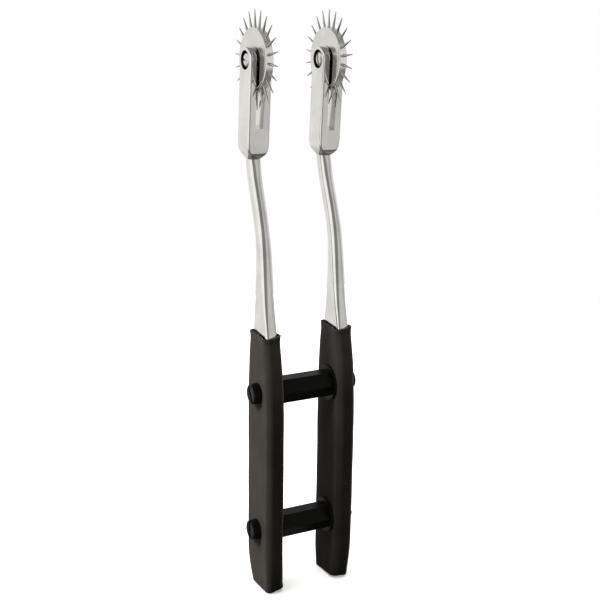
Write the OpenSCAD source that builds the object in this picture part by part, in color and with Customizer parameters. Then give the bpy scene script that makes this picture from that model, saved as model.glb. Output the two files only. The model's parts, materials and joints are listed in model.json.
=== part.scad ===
// Twin tracing wheel: two needle wheels, each running in a forked steel arm.
// The arms stand side by side, in shrunk-on black sleeves, and two hexagonal
// spacers with screws hold them together.
// X runs along the wheel axles, Y from front to back, Z up from the handle ends.

/* [Arms] */
// Distance between the centre planes of the two handles
arm_spacing = 26.1; // [25:0.1:30]
// How far each arm leans towards the other at its fork head
head_in = 0.3; // [0:0.1:0.6]
// Height of the wheel axles above the handle ends
axle_height = 174.7; // [172:0.1:180]
// Backward offset of the wheel axles from the handles
axle_offset = 9.7; // [9:0.1:10.2]
// Forward lean of the fork heads, in degrees
head_lean = 3.6; // [2:0.2:6]
// Width of a fork head across its two prongs
head_w = 7.6; // [7.4:0.1:9]
// Depth of a fork head from front to back
head_d = 8; // [7.6:0.1:9]
// Width of the fork slot where the wheel runs in it
slot_w = 3.4; // [3.3:0.1:3.7]
// Width of the fork slot at its floor
slot_floor_w = 2.6; // [2:0.1:2.8]
// Depth of each fork slot below its axle, left and right
slot_drop = [20.7, 22.3]; // [18:0.1:23]

/* [Wheels] */
// Radius of a wheel to its needle tips
wheel_r = 15.3; // [14:0.1:16]
// Radius of a wheel's disc
disc_r = 9.8; // [8.5:0.1:10.5]
// Thickness of a wheel's disc
disc_t = 2.5; // [1.8:0.1:2.6]
// Number of needles on a wheel
needle_count = 22; // [16:1:24]
// Radius of a needle where it leaves the disc
needle_r = 0.5; // [0.35:0.05:0.6]
// Turn of each wheel from a needle pointing up, left and right, in degrees
wheel_turn = [-3.8, 0]; // [-8:0.1:8]

/* [Handles] */
// Thickness of a sleeved handle along X
handle_w = 6.3; // [6:0.1:7]
// Depth of a sleeved handle from front to back
handle_d = 16.8; // [15:0.2:18]
// Height of the sleeves
sleeve_h = 89; // [86:0.5:92]
// Wall thickness of the sleeves
sleeve_t = 0.9; // [0.7:0.1:1.1]

/* [Spacers and screws] */
// Heights of the lower and the upper spacer
spacer_z = [21.7, 69.6]; // [20:0.1:72]
// Width of a spacer across its flats
spacer_af = 8; // [7:0.5:8.5]
// Thickness of a spacer washer
washer_t = 0.8; // [0.5:0.1:1]
// Shank radius of the handle screws
screw_r = 2; // [1.5:0.1:2.2]

/* [Hidden] */
$fn = 64;

LEFT = 0;
RIGHT = 1;
eps = 0.01;

// The origin is under the middle of the whole part, so the handles stand forward of it.
y_middle = (axle_offset + wheel_r - handle_d / 2) / 2;

// Fits
run_gap = 0.05;
press_gap = 0.02;
hole_gap = 0.15;

// Fork
shoulder_drop = 30.7;
side_drop = 25.7;
front_drop = 28.4;
slot_low_w = 3;
slot_step_drop = 12;
slot_step_len = 1.2;
axle_r = 1.5;
axle_end_r = 1.2;
axle_head_r = 2.5;
axle_head_h = 1.1;
counterbore_r = 2.9;
counterbore_depth = 1;
prong_t = (head_w - slot_w) / 2;

// Wheel
needle_seat = 2.2;
needle_tip_r = 0.13;
wheel_washer_r = 2.4;
wheel_washer_t = (slot_w - disc_t) / 2 - run_gap;
axle_slot_w = 0.6;
axle_slot_depth = 0.5;

// Handle screws and spacers
cheese_r = 3.5;
cheese_top_r = 3.25;
cheese_h = 2.6;
cheese_slot_w = 0.9;
cheese_slot_depth = 1.1;
thread_depth = 7.5;
bore_depth = 8.5;
spacer_washer_r = 5.9;
spacer_len = arm_spacing - handle_w - 2 * washer_t;
face_x = (arm_spacing + handle_w) / 2;

// Stations of the arm, bottom to top: height, backward offset, width along X, depth along Y.
// The two below the tang's end shape only the sleeve.
tang_w = handle_w - 2 * sleeve_t;
tang_d = handle_d - 2 * sleeve_t;
STATIONS = [
    [0,   0,    tang_w - 0.2, tang_d - 3.6],
    [4,   0,    tang_w - 0.1, tang_d - 1.7],
    [9,   0,    tang_w,       tang_d - 0.6],
    [16,  0,    tang_w,       tang_d - 0.1],
    [28,  0,    tang_w,       tang_d],
    [62,  0.2,  tang_w,       tang_d],
    [74,  0.6,  tang_w,       tang_d - 1.1],
    [82,  1,    tang_w - 0.2, tang_d - 2.7],
    [90,  1.4,  tang_w - 0.3, tang_d - 5.1],
    [98,  1.8,  4.5,          7.4],
    [107, 2.2,  4.6,          5.7],
    [114, 2.7,  4.6,          4.9],
    [120, 3.7,  4.5,          4.6],
    [126, 5.6,  4.4,          4.6],
    [132, 7.9,  4.4,          4.6],
    [137, 9.8,  4.4,          4.6],
    [141, 10.9, 4.4,          4.6],
    [145, 11.5, 4.4,          4.6],
    [149, 11.4, 4.4,          4.6]
];
stem_half = 2.2;
stem_end = len(STATIONS) - 1;
tang_end = 2;
above_rim = 9;
rim = 8 - (90 - sleeve_h) / 8;
bend_height = 15;
bend_in = [1, 0.5];
steps_per_station = 3;
ring_points = 24;
squareness = 5;

// Smooth value between four neighbouring stations, at share t of the middle stretch
function blend4(a, b, c, d, t) =
    0.5 * (2 * b + (c - a) * t + (2 * a - 5 * b + 4 * c - d) * t * t
        + (3 * b - a - 3 * c + d) * t * t * t);

// Station at height share s, counted in stations, of the table
function station(table, s) =
    let (last = len(table) - 1, k = min(floor(s), last - 1), t = s - k)
    blend4(table[max(k - 1, 0)], table[k], table[k + 1], table[min(k + 2, last)], t);

// How far an arm stands towards the other at height z: bent in at its foot, leaning in at its head
function inset(side, z) =
    let (above = (z - sleeve_h) / (axle_height - shoulder_drop - sleeve_h))
    bend_in[side] * pow(max(0, 1 - z / bend_height), 1.5) + head_in * pow(min(max(0, above), 1), 2);

// One rounded-square ring across the path; grow widens it on every side
function ring(side, st, lean, grow) = [
    for (i = [0 : ring_points - 1])
        let (
            a = 360 * (i + 0.5) / ring_points,
            px = (min(st[2], tang_w) / 2 + grow) * sign(cos(a)) * pow(abs(cos(a)), 2 / squareness),
            py = (st[3] / 2 + grow) * sign(sin(a)) * pow(abs(sin(a)), 2 / squareness)
        )
        [px + (side == LEFT ? 1 : -1) * inset(side, st[0]), st[1] + py * cos(lean), st[0] - py * sin(lean)]
];

// Closed solid through rings given bottom to top
module loft(rings) {
    n = len(rings[0]);
    top = len(rings) - 1;
    points = [for (r = rings) each r];
    sides = [
        for (k = [0 : top - 1], i = [0 : n - 1])
            let (j = (i + 1) % n, a = k * n, b = a + n)
            each [[a + i, b + i, b + j], [a + i, b + j, a + j]]
    ];
    caps = [[for (i = [0 : n - 1]) i], [for (i = [n - 1 : -1 : 0]) top * n + i]];
    polyhedron(points, concat(sides, caps));
}

// Lean of the arm's path at height share s
function path_lean(s) =
    let (d = 0.05, a = station(STATIONS, max(s - d, 0)), b = station(STATIONS, min(s + d, stem_end)))
    atan2(b[1] - a[1], b[0] - a[0]);

// Height shares from one to another, with the same steps between the same stations
function shares(from, to) = concat(
    [from],
    [for (k = [0 : stem_end * steps_per_station])
        let (s = k / steps_per_station) if (s > from + eps && s < to - eps) s],
    [to]
);

// The arm's outline between two height shares; below adds a straight length under it
module stem(side, from, to, grow = 0, below = 0) {
    rings = [for (s = shares(from, to)) ring(side, station(STATIONS, s), path_lean(s), grow)];
    foot = [for (p = rings[0]) [p[0], p[1], p[2] - below]];
    loft(below > 0 ? concat([foot], rings) : rings);
}

module at_arm(side) {
    translate([(side == LEFT ? -1 : 1) * arm_spacing / 2, -y_middle, 0]) children();
}

module at_axle(side) {
    at_arm(side) translate([(side == LEFT ? 1 : -1) * head_in, axle_offset, axle_height]) children();
}

// Cylinder along +X from x, with its axis on X
module rod_x(x, length, r) {
    translate([x, 0, 0]) rotate([0, 90, 0]) cylinder(h = length, r = r);
}

// Half outline of a fork head's shoulders: a quarter wave from half_stem out to half_w, which it reaches at drop
function shoulder(half_w, half_stem, drop) = [
    for (k = [0 : 8])
        let (t = k / 8, w = half_stem + (half_w - half_stem) * sin(90 * t))
        [w, -shoulder_drop + (shoulder_drop - drop) * t]
];

function mirrored(half) = concat(half, [for (i = [len(half) - 1 : -1 : 0]) [-half[i][0], half[i][1]]]);

// Side view of the head, in Y and Z, with fully round prong ends
module head_side() {
    polygon(mirrored(concat(
        shoulder(head_d / 2, stem_half, front_drop),
        [for (a = [0 : 7.5 : 82.5]) head_d / 2 * [cos(a), sin(a)]],
        [[0, head_d / 2]]
    )));
}

// Front view of the head, in X and Z
module head_front() {
    polygon(mirrored(concat(shoulder(head_w / 2, stem_half, side_drop), [[head_w / 2, head_d / 2 + 1]])));
}

// Fork slot in X and Z: under the wheel it narrows, a little at once and then evenly to its floor
module slot_front(drop) {
    polygon(mirrored([
        [slot_floor_w / 2, -drop], [slot_low_w / 2, -slot_step_drop - slot_step_len],
        [slot_w / 2, -slot_step_drop], [slot_w / 2, head_d]
    ]));
}

module fork(drop) {
    difference() {
        intersection() {
            rotate([90, 0, 90]) linear_extrude(head_w, center = true) head_side();
            rotate([90, 0, 0]) linear_extrude(head_d, center = true) head_front();
        }
        rotate([90, 0, 0]) linear_extrude(2 * head_d, center = true) slot_front(drop);
        rod_x(-head_w, head_w, axle_r + run_gap);
        rod_x(-head_w, head_w / 2 + counterbore_depth, counterbore_r);
        rod_x(0, head_w, axle_end_r + press_gap);
    }
}

module arm(side) {
    color("gainsboro") at_arm(side) difference() {
        union() {
            stem(side, tang_end, stem_end);
            translate([(side == LEFT ? 1 : -1) * head_in, axle_offset, axle_height])
                rotate([head_lean, 0, 0]) fork(slot_drop[side]);
        }
        for (z = spacer_z) translate([0, 0, z]) rod_x(-handle_w, 2 * handle_w, screw_r + hole_gap);
    }
}

// Shrunk-on tube, open at both ends, a hair off the tang all round so that nothing overlaps
module sleeve(side) {
    color("black") at_arm(side) difference() {
        stem(side, 0, rim, grow = sleeve_t);
        stem(side, 0, above_rim, grow = press_gap, below = 1);
        for (z = spacer_z) translate([0, 0, z]) rod_x(-handle_w, 2 * handle_w, screw_r + hole_gap);
    }
}

module wheel_disc(side) {
    color("silver") at_axle(side) difference() {
        rod_x(-disc_t / 2, disc_t, disc_r);
        rod_x(-disc_t, 2 * disc_t, axle_r + run_gap);
        for (k = [0 : needle_count - 1])
            rotate([360 / needle_count * k + wheel_turn[side], 0, 0])
                translate([0, 0, disc_r - needle_seat]) cylinder(h = 2 * needle_seat, r = needle_r);
    }
}

module needles(side) {
    color("whitesmoke") at_axle(side) for (k = [0 : needle_count - 1])
        rotate([360 / needle_count * k + wheel_turn[side], 0, 0]) {
            translate([0, 0, disc_r - needle_seat])
                cylinder(h = needle_seat, r = needle_r);
            translate([0, 0, disc_r])
                cylinder(h = wheel_r - disc_r, r1 = needle_r, r2 = needle_tip_r, $fn = 24);
        }
}

module axle_screw(side) {
    head_x = -head_w / 2 + counterbore_depth;
    color("darkgray") at_axle(side) difference() {
        union() {
            rod_x(head_x - axle_head_h, axle_head_h, axle_head_r);
            rod_x(head_x - eps, slot_w / 2 - head_x + eps, axle_r);
            rod_x(slot_w / 2 - eps, prong_t + eps, axle_end_r);
        }
        translate([head_x - axle_head_h, 0, 0])
            cube([2 * axle_slot_depth, 3 * axle_head_r, axle_slot_w], center = true);
    }
}

module wheel_washers(side) {
    color("gray") at_axle(side) for (s = [-1, 1])
        translate([s * (slot_w - wheel_washer_t) / 2, 0, 0]) difference() {
            rod_x(-wheel_washer_t / 2, wheel_washer_t, wheel_washer_r);
            rod_x(-wheel_washer_t, 2 * wheel_washer_t, axle_r + run_gap);
        }
}

module spacer(z) {
    color("black") translate([0, -y_middle, z]) difference() {
        translate([-spacer_len / 2, 0, 0]) rotate([0, 90, 0]) rotate(30)
            cylinder(h = spacer_len, r = spacer_af / sqrt(3), $fn = 6);
        for (s = [-1, 1])
            translate([s * spacer_len / 2, 0, 0])
                rod_x(-bore_depth, 2 * bore_depth, screw_r + press_gap);
    }
}

module spacer_washers(side) {
    color("dimgray") for (z = spacer_z)
        translate([(side == LEFT ? -1 : 1) * (spacer_len + washer_t) / 2, -y_middle, z]) difference() {
            rod_x(-washer_t / 2, washer_t, spacer_washer_r);
            rod_x(-washer_t, 2 * washer_t, screw_r + hole_gap);
        }
}

// Slotted cheese-head screw, drawn with its head towards -X; turn is the slot's angle
module handle_screw(side, z, turn) {
    color("black") translate([(side == LEFT ? -1 : 1) * face_x, -y_middle, z])
        mirror([side == LEFT ? 0 : 1, 0, 0]) difference() {
            union() {
                translate([-cheese_h, 0, 0]) rotate([0, 90, 0])
                    cylinder(h = cheese_h, r1 = cheese_top_r, r2 = cheese_r);
                rod_x(-eps, handle_w + washer_t + thread_depth, screw_r);
            }
            rotate([turn, 0, 0]) translate([-cheese_h, 0, 0])
                cube([2 * cheese_slot_depth, 3 * cheese_r, cheese_slot_w], center = true);
        }
}

arm(LEFT);  // left_arm
arm(RIGHT);  // right_arm
sleeve(LEFT);  // left_sleeve
sleeve(RIGHT);  // right_sleeve
wheel_disc(LEFT);  // left_wheel
wheel_disc(RIGHT);  // right_wheel
needles(LEFT);  // left_needles
needles(RIGHT);  // right_needles
axle_screw(LEFT);  // left_axle_screw
axle_screw(RIGHT);  // right_axle_screw
wheel_washers(LEFT);  // left_wheel_washers
wheel_washers(RIGHT);  // right_wheel_washers
spacer(spacer_z[0]);  // lower_spacer
spacer(spacer_z[1]);  // upper_spacer
spacer_washers(LEFT);  // left_spacer_washers
spacer_washers(RIGHT);  // right_spacer_washers
handle_screw(LEFT, spacer_z[0], 85);  // left_lower_screw
handle_screw(LEFT, spacer_z[1], 60);  // left_upper_screw
handle_screw(RIGHT, spacer_z[0], 20);  // right_lower_screw
handle_screw(RIGHT, spacer_z[1], 110);  // right_upper_screw
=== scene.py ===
"""Twin tracing wheel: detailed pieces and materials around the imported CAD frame, on a pale floor."""

import json
from math import atan2, cos, pi, radians, sin, sqrt

import bmesh
import bpy
from mathutils import Matrix, Vector

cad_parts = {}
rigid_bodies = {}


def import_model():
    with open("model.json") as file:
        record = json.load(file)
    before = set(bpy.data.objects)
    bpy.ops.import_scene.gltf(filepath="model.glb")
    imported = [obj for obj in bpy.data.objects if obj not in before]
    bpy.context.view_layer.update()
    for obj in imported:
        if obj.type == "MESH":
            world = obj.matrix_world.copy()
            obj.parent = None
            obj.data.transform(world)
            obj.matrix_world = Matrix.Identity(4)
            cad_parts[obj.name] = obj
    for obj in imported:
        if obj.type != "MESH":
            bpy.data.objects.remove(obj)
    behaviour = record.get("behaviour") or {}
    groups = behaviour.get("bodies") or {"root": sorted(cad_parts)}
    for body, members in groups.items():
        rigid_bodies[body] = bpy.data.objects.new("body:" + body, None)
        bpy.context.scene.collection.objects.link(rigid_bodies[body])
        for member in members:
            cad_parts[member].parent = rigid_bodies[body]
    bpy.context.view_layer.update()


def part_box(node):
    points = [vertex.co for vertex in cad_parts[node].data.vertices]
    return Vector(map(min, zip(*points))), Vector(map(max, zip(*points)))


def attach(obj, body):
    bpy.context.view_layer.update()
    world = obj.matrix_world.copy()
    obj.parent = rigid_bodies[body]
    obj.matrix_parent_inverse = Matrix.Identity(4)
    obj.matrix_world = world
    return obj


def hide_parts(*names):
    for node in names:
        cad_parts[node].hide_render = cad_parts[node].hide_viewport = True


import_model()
MM = 0.001

# ---------------------------------------------------------------- sizes, in millimetres
LEFT, RIGHT = -1, 1
SIDES = {"left": LEFT, "right": RIGHT}

ARM_X, HEAD_IN = 13.05, 0.3      # centre plane of a handle, and how far its head leans in
HEAD_X = ARM_X - HEAD_IN
AXLE_Z = 174.7
AXLE_Y = 9.7                    # behind the handles' centre plane
HEAD_LEAN = 3.6                 # degrees forward
HEAD_W, HEAD_D = 7.6, 8.0
SIDE_DROP, FRONT_DROP, SHOULDER_DROP = 25.7, 28.4, 30.7
HEAD_EDGE = 0.7                 # radius of a head's upright edges
SLOT_W, SLOT_LOW_W, SLOT_FLOOR_W = 3.4, 3.0, 2.6
SLOT_STEP_DROP, SLOT_STEP_LEN = 12.0, 1.2
SLOT_DROP = {LEFT: 20.7, RIGHT: 22.3}
COUNTERBORE_R, COUNTERBORE_DEPTH = 2.9, 1.0

WHEEL_R, DISC_R, DISC_T = 15.3, 9.8, 2.5
NEEDLES, NEEDLE_R, NEEDLE_TIP_R, NEEDLE_SEAT = 22, 0.5, 0.13, 2.2
WHEEL_TURN = {LEFT: -3.8, RIGHT: 0.0}
AXLE_SLOT_TURN = {LEFT: 6.0, RIGHT: 78.0}
AXLE_R, AXLE_END_R, AXLE_HEAD_R, RUN_GAP = 1.5, 1.2, 2.2, 0.05
WHEEL_WASHER_R = 2.4

HANDLE_W, HANDLE_D, SLEEVE_H, SLEEVE_T = 6.3, 16.8, 89.0, 0.9
SPACER_Z = {"lower": 21.7, "upper": 69.6}
SPACER_AF, WASHER_T, WASHER_R = 8.0, 0.8, 5.9
SCREW_R, HEAD_R, HEAD_TOP_R, HEAD_H = 2.0, 3.5, 3.25, 2.6
BORE_GAP = 0.02                 # between a shank and the bore it is pressed in
SLOT_TURN = {"left_lower": 85, "left_upper": 60, "right_lower": 20, "right_upper": 110}

# Where the handles' centre plane lies in the frame: the lower spacer's middle
low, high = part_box("lower_spacer")
HANDLE_Y = (low.y + high.y) / 2 / MM

TANG_W, TANG_D = HANDLE_W - 2 * SLEEVE_T, HANDLE_D - 2 * SLEEVE_T
# Height, backward offset, width, depth and edge radius of the arm, from the tang's end up
STATIONS = [
    (9, 0, TANG_W, TANG_D - 0.6, 1.0),
    (16, 0, TANG_W, TANG_D - 0.1, 1.0),
    (28, 0, TANG_W, TANG_D, 1.0),
    (62, 0.2, TANG_W, TANG_D, 1.0),
    (74, 0.6, TANG_W, TANG_D - 1.1, 1.0),
    (82, 1, TANG_W - 0.2, TANG_D - 2.7, 1.0),
    (90, 1.4, TANG_W - 0.3, TANG_D - 5.1, 1.1),
    (98, 1.8, 4.5, 7.4, 1.6),
    (107, 2.2, 4.6, 5.7, 1.95),
    (114, 2.7, 4.6, 4.9, 2.1),
    (120, 3.7, 4.5, 4.6, 2.15),
    (126, 5.6, 4.4, 4.6, 2.15),
    (132, 7.9, 4.4, 4.6, 2.15),
    (137, 9.8, 4.4, 4.6, 2.1),
    (141, 10.9, 4.4, 4.6, 1.95),
]


# ---------------------------------------------------------------- mesh helpers
def between(table, s):
    """Smooth values at share s, counted in rows, of a table."""
    last = len(table) - 1
    k = min(int(s), last - 1)
    t = s - k
    rows = [table[max(k - 1, 0)], table[k], table[k + 1], table[min(k + 2, last)]]
    return [
        0.5 * (2 * b + (c - a) * t + (2 * a - 5 * b + 4 * c - d) * t * t + (3 * b - a - 3 * c + d) * t**3)
        for a, b, c, d in zip(*rows)
    ]


def rounded_rectangle(half_w, half_d, radius, corner_steps=7, side_steps=5):
    """Points round a rectangle with round corners, anticlockwise, the same number for every size."""
    r = min(radius, half_w * 0.98, half_d * 0.98)
    corners = [(half_w - r, half_d - r, 0), (r - half_w, half_d - r, 90),
               (r - half_w, r - half_d, 180), (half_w - r, r - half_d, 270)]
    points = []
    for number, (cx, cy, start) in enumerate(corners):
        angles = [radians(start + 90 * k / corner_steps) for k in range(corner_steps + 1)]
        arc = [(cx + r * cos(a), cy + r * sin(a)) for a in angles]
        nx, ny, nstart = corners[(number + 1) % 4]
        nxt = (nx + r * cos(radians(nstart)), ny + r * sin(radians(nstart)))
        end = arc[-1]
        side = [
            (end[0] + (nxt[0] - end[0]) * k / side_steps, end[1] + (nxt[1] - end[1]) * k / side_steps)
            for k in range(1, side_steps)
        ]
        points += arc + side
    return points


def add_object(name, mesh):
    obj = bpy.data.objects.new(name, mesh)
    bpy.context.scene.collection.objects.link(obj)
    return obj


def mesh_object(name, vertices, faces):
    """An object from points in millimetres."""
    mesh = bpy.data.meshes.new(name)
    mesh.from_pydata([Vector(v) * MM for v in vertices], [], faces)
    mesh.validate()
    obj = add_object(name, mesh)
    recalculate(obj)
    return obj


def recalculate(obj):
    bm = bmesh.new()
    bm.from_mesh(obj.data)
    bmesh.ops.recalc_face_normals(bm, faces=bm.faces)
    bm.to_mesh(obj.data)
    bm.free()


def loft(name, rings, closed=False):
    """A solid through rings of points; closed joins the last ring to the first instead of capping both."""
    n = len(rings[0])
    vertices = [p for ring in rings for p in ring]
    joins = len(rings) if closed else len(rings) - 1
    faces = []
    for k in range(joins):
        a, b = k * n, (k + 1) % len(rings) * n
        faces += [(a + i, a + (i + 1) % n, b + (i + 1) % n, b + i) for i in range(n)]
    if not closed:
        faces += [tuple(reversed(range(n))), tuple(range((len(rings) - 1) * n, len(rings) * n))]
    return mesh_object(name, vertices, faces)


def lathe(name, profile, segments=96):
    """A closed profile of (x, radius) points turned about the X axis; a radius of 0 closes the end."""
    rings = [
        [(x, r * cos(2 * pi * i / segments), r * sin(2 * pi * i / segments)) for i in range(segments)]
        for x, r in profile
    ]
    obj = loft(name, rings, closed=True)
    bm = bmesh.new()
    bm.from_mesh(obj.data)
    bmesh.ops.remove_doubles(bm, verts=bm.verts, dist=1e-7)
    bmesh.ops.dissolve_degenerate(bm, edges=bm.edges, dist=1e-8)
    bmesh.ops.recalc_face_normals(bm, faces=bm.faces)
    bm.to_mesh(obj.data)
    bm.free()
    return obj


def place(obj, x, y, z, turn_x=0.0):
    """Moves the mesh itself, in millimetres, after turning it about X by degrees."""
    obj.data.transform(Matrix.Translation(Vector((x, y, z)) * MM) @ Matrix.Rotation(radians(turn_x), 4, "X"))
    return obj


def box_mesh(name, low_corner, high_corner):
    (x0, y0, z0), (x1, y1, z1) = low_corner, high_corner
    vertices = [(x, y, z) for x in (x0, x1) for y in (y0, y1) for z in (z0, z1)]
    faces = [(0, 1, 3, 2), (4, 6, 7, 5), (0, 4, 5, 1), (2, 3, 7, 6), (0, 2, 6, 4), (1, 5, 7, 3)]
    return mesh_object(name, vertices, faces)


def apply_modifiers(obj):
    bpy.context.view_layer.update()
    graph = bpy.context.evaluated_depsgraph_get()
    mesh = bpy.data.meshes.new_from_object(obj.evaluated_get(graph))
    obj.modifiers.clear()
    obj.data = mesh
    return obj


def subtract(obj, cutters):
    for cutter in cutters:
        modifier = obj.modifiers.new("cut", "BOOLEAN")
        modifier.operation = "DIFFERENCE"
        modifier.solver = "EXACT"
        modifier.object = cutter
    apply_modifiers(obj)
    for cutter in cutters:
        bpy.data.objects.remove(cutter)
    return obj


def soften(obj, width, segments=2, angle=40):
    """Rounds the sharp edges and shades the rest smooth, with flat faces kept flat."""
    bevel = obj.modifiers.new("edges", "BEVEL")
    bevel.width = width * MM
    bevel.segments = segments
    bevel.limit_method = "ANGLE"
    bevel.angle_limit = radians(angle)
    bevel.use_clamp_overlap = True
    bevel.miter_outer = "MITER_ARC"
    apply_modifiers(obj)
    for polygon in obj.data.polygons:
        polygon.use_smooth = True
    normals = obj.modifiers.new("normals", "WEIGHTED_NORMAL")
    normals.keep_sharp = True
    normals.weight = 80
    return apply_modifiers(obj)


def smooth(obj):
    for polygon in obj.data.polygons:
        polygon.use_smooth = True
    return obj


def finish_piece(obj, body, slot, material, *nodes):
    obj.data.materials.clear()
    obj.data.materials.append(material)
    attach(obj, body)
    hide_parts(*nodes)
    return obj


# ---------------------------------------------------------------- materials
class Nodes:
    """Short forms for building a material's node tree."""

    def __init__(self, name, **values):
        self.material = bpy.data.materials.new(name)
        self.material.use_nodes = True
        self.tree = self.material.node_tree
        self.shader = self.tree.nodes["Principled BSDF"]
        for key, value in values.items():
            self.shader.inputs[key.replace("_", " ")].default_value = value
        self.place = self.tree.nodes.new("ShaderNodeTexCoord").outputs["Object"]

    def node(self, kind, links=(), **settings):
        node = self.tree.nodes.new(kind)
        for key, value in settings.items():
            if key in node.inputs:
                node.inputs[key].default_value = value
            else:
                setattr(node, key, value)
        for socket, source in dict(links).items():
            self.tree.links.new(source, node.inputs[socket])
        return node

    def stretched(self, scale, location=(0, 0, 0)):
        mapping = self.node("ShaderNodeMapping", {"Vector": self.place}, Scale=scale, Location=location)
        return mapping.outputs["Vector"]

    def noise(self, vector, scale, detail=4.0, roughness=0.55):
        settings = {"Scale": scale, "Detail": detail, "Roughness": roughness}
        return self.node("ShaderNodeTexNoise", {"Vector": vector}, **settings).outputs["Fac"]

    def range(self, value, low_out, high_out, low_in=0.0, high_in=1.0):
        settings = {"From Min": low_in, "From Max": high_in, "To Min": low_out, "To Max": high_out}
        return self.node("ShaderNodeMapRange", {"Value": value}, **settings).outputs["Result"]

    def colours(self, value, low_colour, high_colour):
        ramp = self.node("ShaderNodeValToRGB", {"Fac": value})
        ramp.color_ramp.elements[0].position = 0.3
        ramp.color_ramp.elements[1].position = 0.7
        ramp.color_ramp.elements[0].color = (*low_colour, 1)
        ramp.color_ramp.elements[1].color = (*high_colour, 1)
        return ramp.outputs["Color"]

    def to(self, **sources):
        for key, source in sources.items():
            self.tree.links.new(source, self.shader.inputs[key.replace("_", " ")])

    def distance_from_axle(self, centre):
        """Distance in metres from an axle along X through a centre given in millimetres."""
        from_axle = self.stretched((0, 1, 1), (0, -centre[1] * MM, -centre[2] * MM))
        return self.node("ShaderNodeVectorMath", {0: from_axle}, operation="LENGTH").outputs["Value"]

    def distance_from_counterbores(self):
        """Distance in metres along X from the nearer counterbore's middle plane."""
        across = self.node("ShaderNodeSeparateXYZ", {"Vector": self.place}).outputs["X"]
        plane = (HEAD_W / 2 - COUNTERBORE_DEPTH / 2) * MM
        for shift in (plane, -HEAD_X * MM):
            moved = self.node("ShaderNodeMath", {0: across}, operation="ADD")
            moved.inputs[1].default_value = shift
            size = self.node("ShaderNodeMath", {0: moved.outputs["Value"]}, operation="ABSOLUTE")
            across = size.outputs["Value"]
        return across

    def scaled(self, colour, share):
        node = self.node("ShaderNodeVectorMath", {0: colour, "Scale": share}, operation="SCALE")
        return node.outputs["Vector"]

    def bump(self, height, strength, distance, under=None):
        links = {"Height": height}
        if under is not None:
            links["Normal"] = under
        return self.node("ShaderNodeBump", links, Strength=strength, Distance=distance).outputs["Normal"]


def polished_steel(name, low_colour, high_colour, low_rough, high_rough, along, centre=None, counterbore_shade_r=0.0):
    """Polished stainless steel: cloudy polish, scratches along one direction, and painted shade darkening the
    counterbores round the axle screw heads.
    """
    m = Nodes(name, Metallic=1.0)
    cloud = m.noise(m.stretched((1, 1, 1)), 160.0)
    scratch = m.noise(m.stretched(along), 900.0, detail=3.0, roughness=0.7)
    colour = m.colours(cloud, low_colour, high_colour)
    if centre:
        # painted shade: inside the counterbore, the steel round the axle screw head is darkened to 6 per cent of
        # its brightness, standing in for the shade in the gap
        unshaded = m.range(m.distance_from_axle(centre), 0.06, 1.0, (counterbore_shade_r - 0.05) * MM, counterbore_shade_r * MM)
        outside = m.range(m.distance_from_counterbores(), 0.0, 1.0, 0.6 * MM, 0.65 * MM)
        unshaded = m.node("ShaderNodeMath", {0: unshaded, 1: outside}, operation="MAXIMUM").outputs["Value"]
        colour = m.scaled(colour, unshaded)
    m.to(Base_Color=colour)
    m.to(Roughness=m.range(scratch, low_rough, high_rough, 0.3, 0.7))
    m.to(Normal=m.bump(scratch, 0.06, 0.00002))
    return m.material


def turned_steel(name, low_colour, high_colour, centre, pitch, rim_r=1000.0):
    """Steel faced on a lathe: faint rings about an axle along X, and a duller rim beyond rim_r whose colour is
    made lighter as painted light.
    """
    m = Nodes(name, Metallic=1.0)
    distance = m.distance_from_axle(centre)
    combined = m.node("ShaderNodeCombineXYZ", {"X": distance}).outputs["Vector"]
    rings = m.noise(combined, 1.0 / (pitch * MM), detail=2.0)
    cloud = m.noise(m.stretched((1, 1, 1)), 220.0)
    # painted light: beyond rim_r the colour is made up to half again brighter, standing in for light the rim
    # catches
    painted_rim_light = m.range(distance, 1.0, 1.5, (rim_r - 0.1) * MM, rim_r * MM)
    colour = m.colours(cloud, low_colour, high_colour)
    m.to(Base_Color=m.scaled(colour, painted_rim_light))
    polished = m.range(rings, 0.07, 0.16, 0.3, 0.7)
    dull = m.range(distance, 0.0, 0.15, (rim_r - 0.1) * MM, rim_r * MM)
    m.to(Roughness=m.node("ShaderNodeMath", {0: polished, 1: dull}, operation="ADD").outputs["Value"])
    m.to(Normal=m.bump(rings, 0.10, 0.00002))
    return m.material


def shrink_rubber(name):
    """Satin black shrink tube: soft mottling, faint lengthways drawing marks and a fine skin."""
    m = Nodes(name, Specular_IOR_Level=0.01, Sheen_Weight=0.06, Sheen_Roughness=0.35,
              Sheen_Tint=(1.0, 0.90, 0.78, 1.0))
    cloud = m.noise(m.stretched((1, 1, 1)), 90.0, detail=6.0)
    drawn = m.noise(m.stretched((1, 1, 0.08)), 700.0, detail=3.0)
    skin = m.noise(m.stretched((1, 1, 1)), 5200.0, detail=2.0)
    m.to(Base_Color=m.colours(cloud, (0.0036, 0.0032, 0.0028), (0.0054, 0.0049, 0.0042)))
    m.to(Roughness=m.range(cloud, 0.40, 0.52, 0.3, 0.7))
    fine = m.bump(skin, 0.25, 0.00002)
    m.to(Normal=m.bump(drawn, 0.20, 0.00004, fine))
    return m.material


def black_nylon(name):
    """Moulded black nylon: slightly mottled, with a faint orange-peel skin."""
    m = Nodes(name, Specular_IOR_Level=0.07)
    cloud = m.noise(m.stretched((1, 1, 1)), 260.0, detail=5.0)
    skin = m.noise(m.stretched((1, 1, 1)), 3000.0, detail=3.0)
    m.to(Base_Color=m.colours(cloud, (0.0016, 0.0015, 0.0013), (0.0032, 0.0030, 0.0026)))
    m.to(Roughness=m.range(cloud, 0.28, 0.40, 0.3, 0.7))
    m.to(Normal=m.bump(skin, 0.18, 0.00003))
    return m.material


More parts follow.
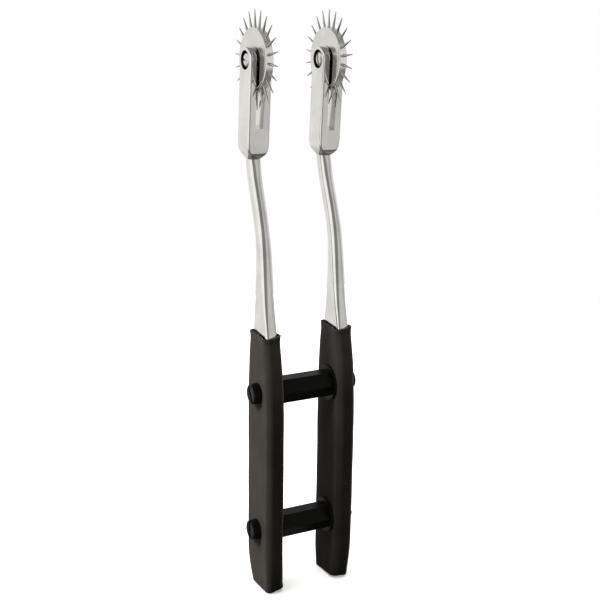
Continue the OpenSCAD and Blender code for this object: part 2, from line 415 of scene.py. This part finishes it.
AXLE_IN_FRAME = (0.0, AXLE_Y + HANDLE_Y, AXLE_Z)
# the axle centre and the last radius set where the painted shade sits round the axle screw heads
ARM_STEEL = polished_steel("arm_steel", (0.64, 0.63, 0.605), (0.75, 0.74, 0.715), 0.07, 0.16, (1, 1, 0.06),
                           AXLE_IN_FRAME, COUNTERBORE_R + 0.09)
NEEDLE_STEEL = polished_steel("needle_steel", (0.38, 0.37, 0.345), (0.52, 0.51, 0.48), 0.12, 0.22, (1, 1, 1))
# DISC_R sets where the rim's painted light begins
WHEEL_STEEL = turned_steel("wheel_steel", (0.60, 0.59, 0.565), (0.70, 0.69, 0.665),
                           AXLE_IN_FRAME, 0.16, DISC_R)
SCREW_STEEL = turned_steel("screw_steel", (0.55, 0.54, 0.52), (0.70, 0.69, 0.67), AXLE_IN_FRAME, 0.10)
RUBBER = shrink_rubber("sleeve_rubber")
NYLON = black_nylon("black_nylon")


# ---------------------------------------------------------------- arms
BEND_HEIGHT, BEND_IN = 15.0, {LEFT: 1.0, RIGHT: 0.5}
STEM_HALF, STEM_EDGE = 2.2, 1.8  # half width and edge radius where the stem meets the head


def inset(side, z):
    """How far an arm stands towards the other at height z: bent in at its foot, leaning in at its head."""
    above = (z - SLEEVE_H) / (AXLE_Z - SHOULDER_DROP - SLEEVE_H)
    return BEND_IN[side] * max(0.0, 1 - z / BEND_HEIGHT) ** 1.5 + HEAD_IN * min(max(0.0, above), 1.0) ** 2


def tilted(points, side, y, z, lean):
    """Points of a ring set square to a path that leans by an angle, at (y, z)."""
    return [(px - side * inset(side, z), y + py * cos(lean), z - py * sin(lean)) for px, py in points]


def head_point(h, y_off=0.0):
    """(y, z) at height h along a leaning head, from its axle."""
    lean = radians(HEAD_LEAN)
    return AXLE_Y - h * sin(lean) + y_off * cos(lean), AXLE_Z + h * cos(lean) + y_off * sin(lean)


def stem_rings(side):
    rings = []
    last = len(STATIONS) - 1
    steps = 10 * last
    for k in range(steps + 1):
        s = k * last / steps
        z, y, w, d, r = between(STATIONS, s)
        z0, y0 = between(STATIONS, max(s - 0.05, 0))[:2]
        z1, y1 = between(STATIONS, min(s + 0.05, last))[:2]
        rings.append(tilted(rounded_rectangle(w / 2, d / 2, r), side, y, z, atan2(y1 - y0, z1 - z0)))
    return rings


def head_rings(side):
    """Shoulders and round end of a head. The round end is concentric with the axle."""
    rings = []
    lean = -radians(HEAD_LEAN)
    half_w, half_d = HEAD_W / 2, HEAD_D / 2
    shoulder_steps, end_steps = 16, 20
    for k in range(shoulder_steps + 1):
        h = -SHOULDER_DROP + (SHOULDER_DROP - SIDE_DROP) * k / shoulder_steps
        across = k / shoulder_steps
        back = min(1.0, (h + SHOULDER_DROP) / (SHOULDER_DROP - FRONT_DROP))
        w = STEM_HALF + (half_w - STEM_HALF) * sin(radians(90 * across))
        d = STEM_HALF + (half_d - STEM_HALF) * sin(radians(90 * back))
        r = STEM_EDGE + (HEAD_EDGE - STEM_EDGE) * back
        rings.append(tilted(rounded_rectangle(w, d, r), side, *head_point(h), lean))
    for k in range(end_steps + 1):
        a = radians(88.0 * k / end_steps)
        d = half_d * cos(a)
        outline = rounded_rectangle(half_w, d, min(HEAD_EDGE, d * 0.9))
        rings.append(tilted(outline, side, *head_point(half_d * sin(a)), lean))
    return rings


def slot_cutter(side):
    right = [(SLOT_FLOOR_W / 2, -SLOT_DROP[side]), (SLOT_LOW_W / 2, -SLOT_STEP_DROP - SLOT_STEP_LEN),
             (SLOT_W / 2, -SLOT_STEP_DROP), (SLOT_W / 2, HEAD_D)]
    outline = right + [(-x, h) for x, h in reversed(right)]
    n = len(outline)
    vertices = []
    for depth in (-HEAD_D, HEAD_D):
        for x, h in outline:
            y, z = head_point(h, depth)
            vertices.append((x - side * HEAD_IN, y, z))
    faces = [tuple(range(n)), tuple(reversed(range(n, 2 * n)))]
    faces += [(i, (i + 1) % n, n + (i + 1) % n, n + i) for i in range(n)]
    return mesh_object("slot", vertices, faces)


def plug(side, x0, x1, radius):
    """A plain cylinder along X at the axle, used to cut a hole."""
    cylinder = lathe("plug", [(x0, 0), (x0, radius), (x1, radius), (x1, 0)])
    return place(cylinder, -side * HEAD_IN, AXLE_Y, AXLE_Z)


def make_arm(name, side):
    arm = loft(f"{name}_arm_steel", stem_rings(side) + head_rings(side))
    face = -HEAD_W / 2
    cutters = [slot_cutter(side), plug(side, face - 2, face + COUNTERBORE_DEPTH, COUNTERBORE_R),
               plug(side, face - 2, 0, AXLE_R + BORE_GAP)]
    subtract(arm, cutters)
    soften(arm, 0.14, 2, 40)
    place(arm, side * ARM_X, HANDLE_Y, 0)
    return finish_piece(arm, "frame", "arm_steel", ARM_STEEL, f"{name}_arm")


# ---------------------------------------------------------------- wheels
def make_disc(name, side):
    half, bore = DISC_T / 2, AXLE_R + RUN_GAP
    edge, hub_r, dish = 0.22, 3.6, 0.12
    profile = [(-half + 0.1, bore), (-half, bore + 0.1), (-half, hub_r), (-half + dish, hub_r + 0.25),
               (-half + dish, DISC_R - 1.1), (-half, DISC_R - 0.85), (-half, DISC_R - edge),
               (-half + 0.4 * edge, DISC_R - 0.12 * edge), (-half + edge, DISC_R)]
    profile += [(-x, r) for x, r in reversed(profile)]
    disc = lathe(f"{name}_disc_steel", profile, 160)
    soften(disc, 0.02, 1, 20)
    place(disc, side * HEAD_X, HANDLE_Y + AXLE_Y, AXLE_Z)
    return finish_piece(disc, f"{name}_wheel", "wheel_steel", WHEEL_STEEL, f"{name}_wheel")


def needle_profile():
    """Half outline of a needle from its root to its rounded tip: (radius, height from the axle)."""
    root = DISC_R - NEEDLE_SEAT
    tip = WHEEL_R - NEEDLE_TIP_R
    profile = [(0, root), (NEEDLE_R, root), (NEEDLE_R, DISC_R), (NEEDLE_R * 0.98, DISC_R + 0.25)]
    taper_steps = 6
    for k in range(1, taper_steps + 1):
        t = k / taper_steps
        r = NEEDLE_R * 0.98 + (NEEDLE_TIP_R - NEEDLE_R * 0.98) * t**0.92
        profile.append((r, DISC_R + 0.25 + (tip - DISC_R - 0.25) * t))
    profile += [(NEEDLE_TIP_R * 0.7, tip + NEEDLE_TIP_R * 0.7), (0, WHEEL_R)]
    return profile


def make_needles(name, side):
    sides = 20
    profile = needle_profile()
    vertices, faces = [], []
    for number in range(NEEDLES):
        turn = radians(360 / NEEDLES * number + WHEEL_TURN[side])
        start = len(vertices)
        for r, h in profile:
            count = 1 if r == 0 else sides
            for i in range(count):
                x, y = r * cos(2 * pi * i / sides), r * sin(2 * pi * i / sides)
                vertices.append((x, y * cos(turn) - h * sin(turn), y * sin(turn) + h * cos(turn)))
        rings = len(profile) - 2
        first, top = start + 1, start + 1 + rings * sides
        faces += [(start, first + (i + 1) % sides, first + i) for i in range(sides)]
        for k in range(rings - 1):
            a, b = first + k * sides, first + (k + 1) * sides
            faces += [(a + i, a + (i + 1) % sides, b + (i + 1) % sides, b + i) for i in range(sides)]
        last = first + (rings - 1) * sides
        faces += [(last + i, last + (i + 1) % sides, top) for i in range(sides)]
    needles = smooth(mesh_object(f"{name}_needle_set", vertices, faces))
    place(needles, side * HEAD_X, HANDLE_Y + AXLE_Y, AXLE_Z)
    return finish_piece(needles, f"{name}_wheel", "needle_steel", NEEDLE_STEEL, f"{name}_needles")


def make_axle_screw(name, side):
    """Domed slotted head in its counterbore, and a plain stepped shank through the wheel into the far prong."""
    face = -HEAD_W / 2
    base, crown, dome, slot_w, slot_depth = face + COUNTERBORE_DEPTH, face - 0.1, 0.8, 0.7, 0.75
    end, chamfer = -face + 0.08, 0.1
    profile = [(crown, 0)]
    profile += [(crown + dome * (1 - cos(radians(a))), AXLE_HEAD_R * sin(radians(a))) for a in range(10, 91, 10)]
    profile += [(base, AXLE_HEAD_R), (base, AXLE_R), (SLOT_W / 2, AXLE_R), (SLOT_W / 2, AXLE_END_R),
                (end - chamfer, AXLE_END_R), (end, AXLE_END_R - chamfer), (end, 0)]
    screw = lathe(f"{name}_axle_pin", profile, 64)
    subtract(screw, [box_mesh("slot", (crown - 1, -3, -slot_w / 2), (crown + slot_depth, 3, slot_w / 2))])
    soften(screw, 0.06, 2, 40)
    place(screw, side * HEAD_X, HANDLE_Y + AXLE_Y, AXLE_Z, AXLE_SLOT_TURN[side])
    return finish_piece(screw, "frame", "screw_steel", SCREW_STEEL, f"{name}_axle_screw")


# ---------------------------------------------------------------- sleeves
# The sleeve's inside: below the tang two rows of its own, then the arm's rows up to the one above the rim
SLEEVE_STATIONS = [
    (0, 0, TANG_W - 0.2, TANG_D - 3.6, 1.2),
    (4, 0, TANG_W - 0.1, TANG_D - 1.7, 1.1),
] + STATIONS[:8]
RIM_SHARE = 8 - (90 - SLEEVE_H) / 8   # where the rim lies, counted in those rows: just below the row at 90
RIM_ZONE, FOOT_ZONE = 3.0, 3.5        # how far from an end its unevenness reaches


def ripple(z, around, side):
    """Slight unevenness of the shrunk tube, always inward, from 0 to 1."""
    waves = sin(0.23 * z + 2.1 * around + side) + sin(0.41 * z - 3 * around + 1.3)
    waves += sin(0.11 * z + around * 5)
    return 0.5 + waves / 6


# Height of a sleeve's uneven ends at its corners: back left, front left, front right, back right
RIM_HEIGHTS = {LEFT: (0.35, -0.55, 0.55, 0.0), RIGHT: (0.35, -0.45, 0.45, 0.0)}
FOOT_HEIGHTS = {LEFT: (0.05, 0.0, 1.4, 0.6), RIGHT: (0.0, 0.8, 0.5, 0.2)}


def corner_mix(values, u, v):
    """Value between the four corners, with u from left to right and v from front to back, both -1 to 1."""
    back_left, front_left, front_right, back_right = values
    right, back = (u + 1) / 2, (v + 1) / 2
    at_left = (1 - back) * front_left + back * back_left
    at_right = (1 - back) * front_right + back * back_right
    return (1 - right) * at_left + right * at_right


def sleeve_ring(s, side, grow, rim, foot):
    """One ring of the sleeve's wall; rim and foot rise from 0 to 1 towards its two ends."""
    z, y, w, d, r = between(SLEEVE_STATIONS, s)
    outline = rounded_rectangle(w / 2 + grow, d / 2 + grow, r + grow * 1.1, 10, 8)
    outer = grow > 0.5
    ring = []
    for px, py in outline:
        around = atan2(py, px)
        u, v = px / (w / 2 + grow), py / (d / 2 + grow)
        corner = min(1.0, 1.25 * abs(u * v))
        shift = (0.38 if outer else 0.55) * rim**2 * (0.3 + 0.7 * corner**2)
        shift += foot * (0.08 + 0.35 * max(0.0, u) * max(0.0, -v))
        if outer:
            shift -= 0.10 * ripple(z, around, side)
        height = z + rim * corner_mix(RIM_HEIGHTS[side], u, v) + foot * corner_mix(FOOT_HEIGHTS[side], u, v)
        height += 0.05 * rim * sin(9 * around) + 0.06 * foot * (1 + sin(7 * around + side))
        ring.append((px + u * shift - side * inset(side, z), y + py + v * shift, height))
    return ring


def make_sleeve(name, side):
    steps = 96
    outer, inner = [], []
    for k in range(steps + 1):
        s = RIM_SHARE * k / steps
        z = between(SLEEVE_STATIONS, s)[0]
        rim = max(0.0, (z - (SLEEVE_H - RIM_ZONE)) / RIM_ZONE)
        foot = max(0.0, 1 - z / FOOT_ZONE)
        outer.append(sleeve_ring(s, side, SLEEVE_T, rim, foot))
        inner.append(sleeve_ring(s, side, 0.03 + 0.02 * foot, rim, foot))
    sleeve = loft(f"{name}_shrink_sleeve", outer + inner[::-1], closed=True)
    soften(sleeve, 0.18, 3, 50)
    place(sleeve, side * ARM_X, HANDLE_Y, 0)
    return finish_piece(sleeve, "frame", "sleeve_rubber", RUBBER, f"{name}_sleeve")


# ---------------------------------------------------------------- spacers and handle screws
SPACER_LEN = 2 * ARM_X - HANDLE_W - 2 * WASHER_T
THREAD_DEPTH = 7.5


def make_spacer(name):
    """Hexagonal bar with turned-down corners at both ends and blind bores."""
    corner_r, end, bore_r = SPACER_AF / sqrt(3), SPACER_LEN / 2, SCREW_R + BORE_GAP
    hexagon = [(corner_r * cos(radians(30 + 60 * i)), corner_r * sin(radians(30 + 60 * i))) for i in range(6)]
    bar = loft(f"{name}_hex_bar", [[(x, v, u) for u, v in hexagon] for x in (-end, end)])
    chamfer = 0.45
    turned = lathe("turned", [(-end - 1, 0), (-end - 1, corner_r - 1.2), (-end, corner_r - chamfer),
                              (-end + 0.6 * chamfer, corner_r + 0.02), (-end + 1.5, corner_r + 1),
                              (end - 1.5, corner_r + 1), (end - 0.6 * chamfer, corner_r + 0.02),
                              (end, corner_r - chamfer), (end + 1, corner_r - 1.2), (end + 1, 0)])
    keep = bar.modifiers.new("turned", "BOOLEAN")
    keep.operation, keep.solver, keep.object = "INTERSECT", "EXACT", turned
    apply_modifiers(bar)
    bpy.data.objects.remove(turned)
    bores = [lathe("bore", [(x0, 0), (x0, bore_r), (x1, bore_r), (x1, 0)])
             for x0, x1 in ((-end - 1, -end + THREAD_DEPTH + 1), (end - THREAD_DEPTH - 1, end + 1))]
    subtract(bar, bores)
    soften(bar, 0.16, 3, 25)
    place(bar, 0, HANDLE_Y, SPACER_Z[name])
    return finish_piece(bar, "frame", "black_nylon", NYLON, f"{name}_spacer")


def joined(name, parts):
    """One object of several separate solids."""
    bm = bmesh.new()
    for part in parts:
        bm.from_mesh(part.data)
        bpy.data.objects.remove(part)
    mesh = bpy.data.meshes.new(name)
    bm.to_mesh(mesh)
    bm.free()
    return add_object(name, mesh)


def washer_profile(thickness, outer_r, inner_r, edge):
    half, cut = thickness / 2, 0.3 * edge
    return [(-half, inner_r), (-half, outer_r - edge), (-half + cut, outer_r - cut), (-half + edge, outer_r),
            (half - edge, outer_r), (half - cut, outer_r - cut), (half, outer_r - edge), (half, inner_r)]


def make_spacer_washers(name, side):
    parts = []
    for z in SPACER_Z.values():
        part = lathe("washer", washer_profile(WASHER_T, WASHER_R, SCREW_R + 0.15, 0.16))
        parts.append(place(part, side * (SPACER_LEN + WASHER_T) / 2, HANDLE_Y, z))
    washers = smooth(joined(f"{name}_flat_washers", parts))
    soften(washers, 0.03, 1, 40)
    return finish_piece(washers, "frame", "black_nylon", NYLON, f"{name}_spacer_washers")


def make_wheel_washers(name, side):
    thickness = (SLOT_W - DISC_T) / 2 - RUN_GAP
    parts = []
    for s in (-1, 1):
        part = lathe("washer", washer_profile(thickness, WHEEL_WASHER_R, AXLE_R + RUN_GAP, 0.12))
        parts.append(place(part, side * HEAD_X + s * (SLOT_W - thickness) / 2, HANDLE_Y + AXLE_Y, AXLE_Z))
    washers = joined(f"{name}_thin_washers", parts)
    soften(washers, 0.03, 1, 40)
    return finish_piece(washers, "frame", "screw_steel", SCREW_STEEL, f"{name}_wheel_washers")


def make_handle_screw(name):
    """Slotted cheese head with a rounded rim, drawn towards -X, and a shank with thread grooves."""
    side = SIDES[name.split("_")[0]]
    shank_end = HANDLE_W + WASHER_T + THREAD_DEPTH
    rim = 0.45
    profile = [(-HEAD_H, 0), (-HEAD_H, HEAD_TOP_R - rim)]
    for a in (22, 45, 68, 90):
        profile.append((-HEAD_H + rim * (1 - cos(radians(a))), HEAD_TOP_R - rim * (1 - sin(radians(a)))))
    profile += [(0, HEAD_R), (0, SCREW_R)]
    pitch, groove_r, x = 0.7, SCREW_R - 0.3, HANDLE_W + WASHER_T
    while x < shank_end - pitch:
        profile += [(x, SCREW_R), (x + pitch / 2, groove_r)]
        x += pitch
    profile += [(shank_end, groove_r), (shank_end, 0)]
    screw = lathe(f"{name}_slotted_screw", profile, 72)
    slot_w, slot_depth = 1.0, 1.15
    subtract(screw, [box_mesh("slot", (-HEAD_H - 1, -5, -slot_w / 2), (-HEAD_H + slot_depth, 5, slot_w / 2))])
    soften(screw, 0.07, 2, 40)
    screw.data.transform(Matrix.Rotation(radians(SLOT_TURN[name]), 4, "X"))
    if side == RIGHT:
        screw.data.transform(Matrix.Rotation(pi, 4, "Z"))
    place(screw, side * (ARM_X + HANDLE_W / 2), HANDLE_Y, SPACER_Z[name.split("_")[1]])
    return finish_piece(screw, "frame", "black_nylon", NYLON, f"{name}_screw")


# ---------------------------------------------------------------- the scene
CAMERA_TARGET = Vector((-0.97, 0.54 + HANDLE_Y, 98.97)) * MM
CAMERA_DISTANCE, CAMERA_LENS = 371.31 * MM, 68.96
CAMERA_AZIMUTH, CAMERA_DOWN, CAMERA_ROLL = radians(-28.02), radians(15.06), radians(0.89)


def make_camera():
    camera = bpy.data.objects.new("camera", bpy.data.cameras.new("camera"))
    bpy.context.scene.collection.objects.link(camera)
    camera.data.lens = CAMERA_LENS
    camera.data.clip_start = 0.01
    level = cos(CAMERA_DOWN)
    along = Vector((-sin(CAMERA_AZIMUTH) * level, cos(CAMERA_AZIMUTH) * level, -sin(CAMERA_DOWN)))
    turn = along.to_track_quat("-Z", "Y").to_matrix().to_4x4() @ Matrix.Rotation(CAMERA_ROLL, 4, "Z")
    camera.matrix_world = Matrix.Translation(CAMERA_TARGET - along * CAMERA_DISTANCE) @ turn
    bpy.context.scene.camera = camera


def make_floor():
    half_size, corner, thickness = 340.0, 60.0, 4.0
    outline = rounded_rectangle(half_size, half_size, corner, 12, 4)
    floor = loft("floor", [[(x, y, -thickness) for x, y in outline], [(x, y, 0) for x, y in outline]])
    m = Nodes("pale_floor", Roughness=0.7, Specular_IOR_Level=0.2,
              Emission_Color=(1, 1, 1, 1), Emission_Strength=0.3)
    grain = m.noise(m.stretched((1, 1, 1)), 40.0)
    m.to(Base_Color=m.colours(grain, (0.90, 0.90, 0.895), (0.93, 0.93, 0.925)))
    floor.data.materials.append(m.material)
    floor.visible_glossy = False


# Brightness of the studio by compass direction: degrees clockwise from straight behind the object
STUDIO = [(-180, 0.26), (-146, 0.28), (-134, 1.25), (-104, 1.25), (-84, 1.05), (-30, 0.98),
          (18, 1.0), (26, 0.62), (50, 0.55), (62, 1.0), (96, 0.95), (112, 0.50),
          (128, 0.52), (146, 0.68), (160, 0.72), (172, 0.30)]
STUDIO_BLUE = 0.985              # blue against red and green, for a slightly warm light
# Share of that brightness by height: from straight down at 0 through the horizon at 0.5 to straight up at 1
STUDIO_HEIGHT = [(0.10, 0.28), (0.235, 0.20), (0.285, 0.75), (0.33, 1.0), (0.80, 1.0), (0.90, 0.32)]


def make_world():
    world = bpy.data.worlds.new("studio")
    world.use_nodes = True
    bpy.context.scene.world = world
    tree = world.node_tree
    nodes, links = tree.nodes, tree.links
    background = nodes["Background"]
    axes = nodes.new("ShaderNodeSeparateXYZ")
    links.new(nodes.new("ShaderNodeTexCoord").outputs["Generated"], axes.inputs[0])
    angle = nodes.new("ShaderNodeMath")
    angle.operation = "ARCTAN2"
    links.new(axes.outputs["X"], angle.inputs[0])
    links.new(axes.outputs["Y"], angle.inputs[1])
    share = nodes.new("ShaderNodeMapRange")
    share.inputs["From Min"].default_value, share.inputs["From Max"].default_value = -pi, pi
    links.new(angle.outputs[0], share.inputs["Value"])
    ramp = nodes.new("ShaderNodeValToRGB")
    stops = ramp.color_ramp.elements
    while len(stops) < len(STUDIO):
        stops.new(0.5)
    for stop, (degrees_from_back, value) in zip(stops, STUDIO):
        stop.position = (degrees_from_back + 180) / 360
        stop.color = (value, value, value * STUDIO_BLUE, 1)
    links.new(share.outputs["Result"], ramp.inputs["Fac"])
    rise = nodes.new("ShaderNodeMapRange")
    rise.inputs["From Min"].default_value, rise.inputs["From Max"].default_value = -1, 1
    links.new(axes.outputs["Z"], rise.inputs["Value"])
    height_ramp = nodes.new("ShaderNodeValToRGB")
    height_stops = height_ramp.color_ramp.elements
    while len(height_stops) < len(STUDIO_HEIGHT):
        height_stops.new(0.5)
    for stop, (position, value) in zip(height_stops, STUDIO_HEIGHT):
        stop.position = position
        stop.color = (value, value, value, 1)
    links.new(rise.outputs["Result"], height_ramp.inputs["Fac"])
    shade = nodes.new("ShaderNodeMix")
    shade.data_type, shade.blend_type = "RGBA", "MULTIPLY"
    shade.inputs["Factor"].default_value = 1
    links.new(ramp.outputs["Color"], shade.inputs["A"])
    links.new(height_ramp.outputs["Color"], shade.inputs["B"])
    seen = nodes.new("ShaderNodeLightPath")
    mix = nodes.new("ShaderNodeMix")
    mix.data_type = "RGBA"
    links.new(seen.outputs["Is Camera Ray"], mix.inputs["Factor"])
    links.new(shade.outputs["Result"], mix.inputs["A"])
    mix.inputs["B"].default_value = (1, 1, 1, 1)
    links.new(mix.outputs["Result"], background.inputs["Color"])


def make_light(name, location, target, size, power):
    """A square soft light that shows on no polished surface."""
    light = bpy.data.lights.new(name, "AREA")
    light.shape, light.size, light.energy = "SQUARE", size, power
    obj = bpy.data.objects.new(name, light)
    bpy.context.scene.collection.objects.link(obj)
    obj.location = location
    obj.rotation_euler = (Vector(target) - Vector(location)).to_track_quat("-Z", "Y").to_euler()
    obj.visible_glossy = False
    return obj


def light_only(light, objects):
    """Keeps a light off everything but the given objects."""
    lit = bpy.data.collections.new(f"{light.name}_lit")
    for obj in objects:
        lit.objects.link(obj)
    light.light_linking.receiver_collection = lit


make_camera()
make_floor()
make_world()
make_light("top_softbox", (-0.10, 0.05, 0.75), (0, 0, 0.05), 0.7, 9.0)
side_lights = [make_light(f"{name}_softbox", (side * 0.26, -0.01, 0.33), (0, 0, 0.10), 0.12, power)
               for name, side, power in (("left", LEFT, 15.0), ("right", RIGHT, 8.0))]
bpy.context.scene.view_settings.view_transform = "Standard"

for side_name, side_sign in SIDES.items():
    make_arm(side_name, side_sign)
    make_sleeve(side_name, side_sign)
    make_disc(side_name, side_sign)
    make_needles(side_name, side_sign)
    make_axle_screw(side_name, side_sign)
    make_wheel_washers(side_name, side_sign)
    make_spacer_washers(side_name, side_sign)
for spacer_name in SPACER_Z:
    make_spacer(spacer_name)
for screw_name in SLOT_TURN:
    make_handle_screw(screw_name)
sleeves = [obj for obj in bpy.data.objects if obj.name.endswith("_shrink_sleeve")]
for side_light in side_lights:
    light_only(side_light, sleeves)
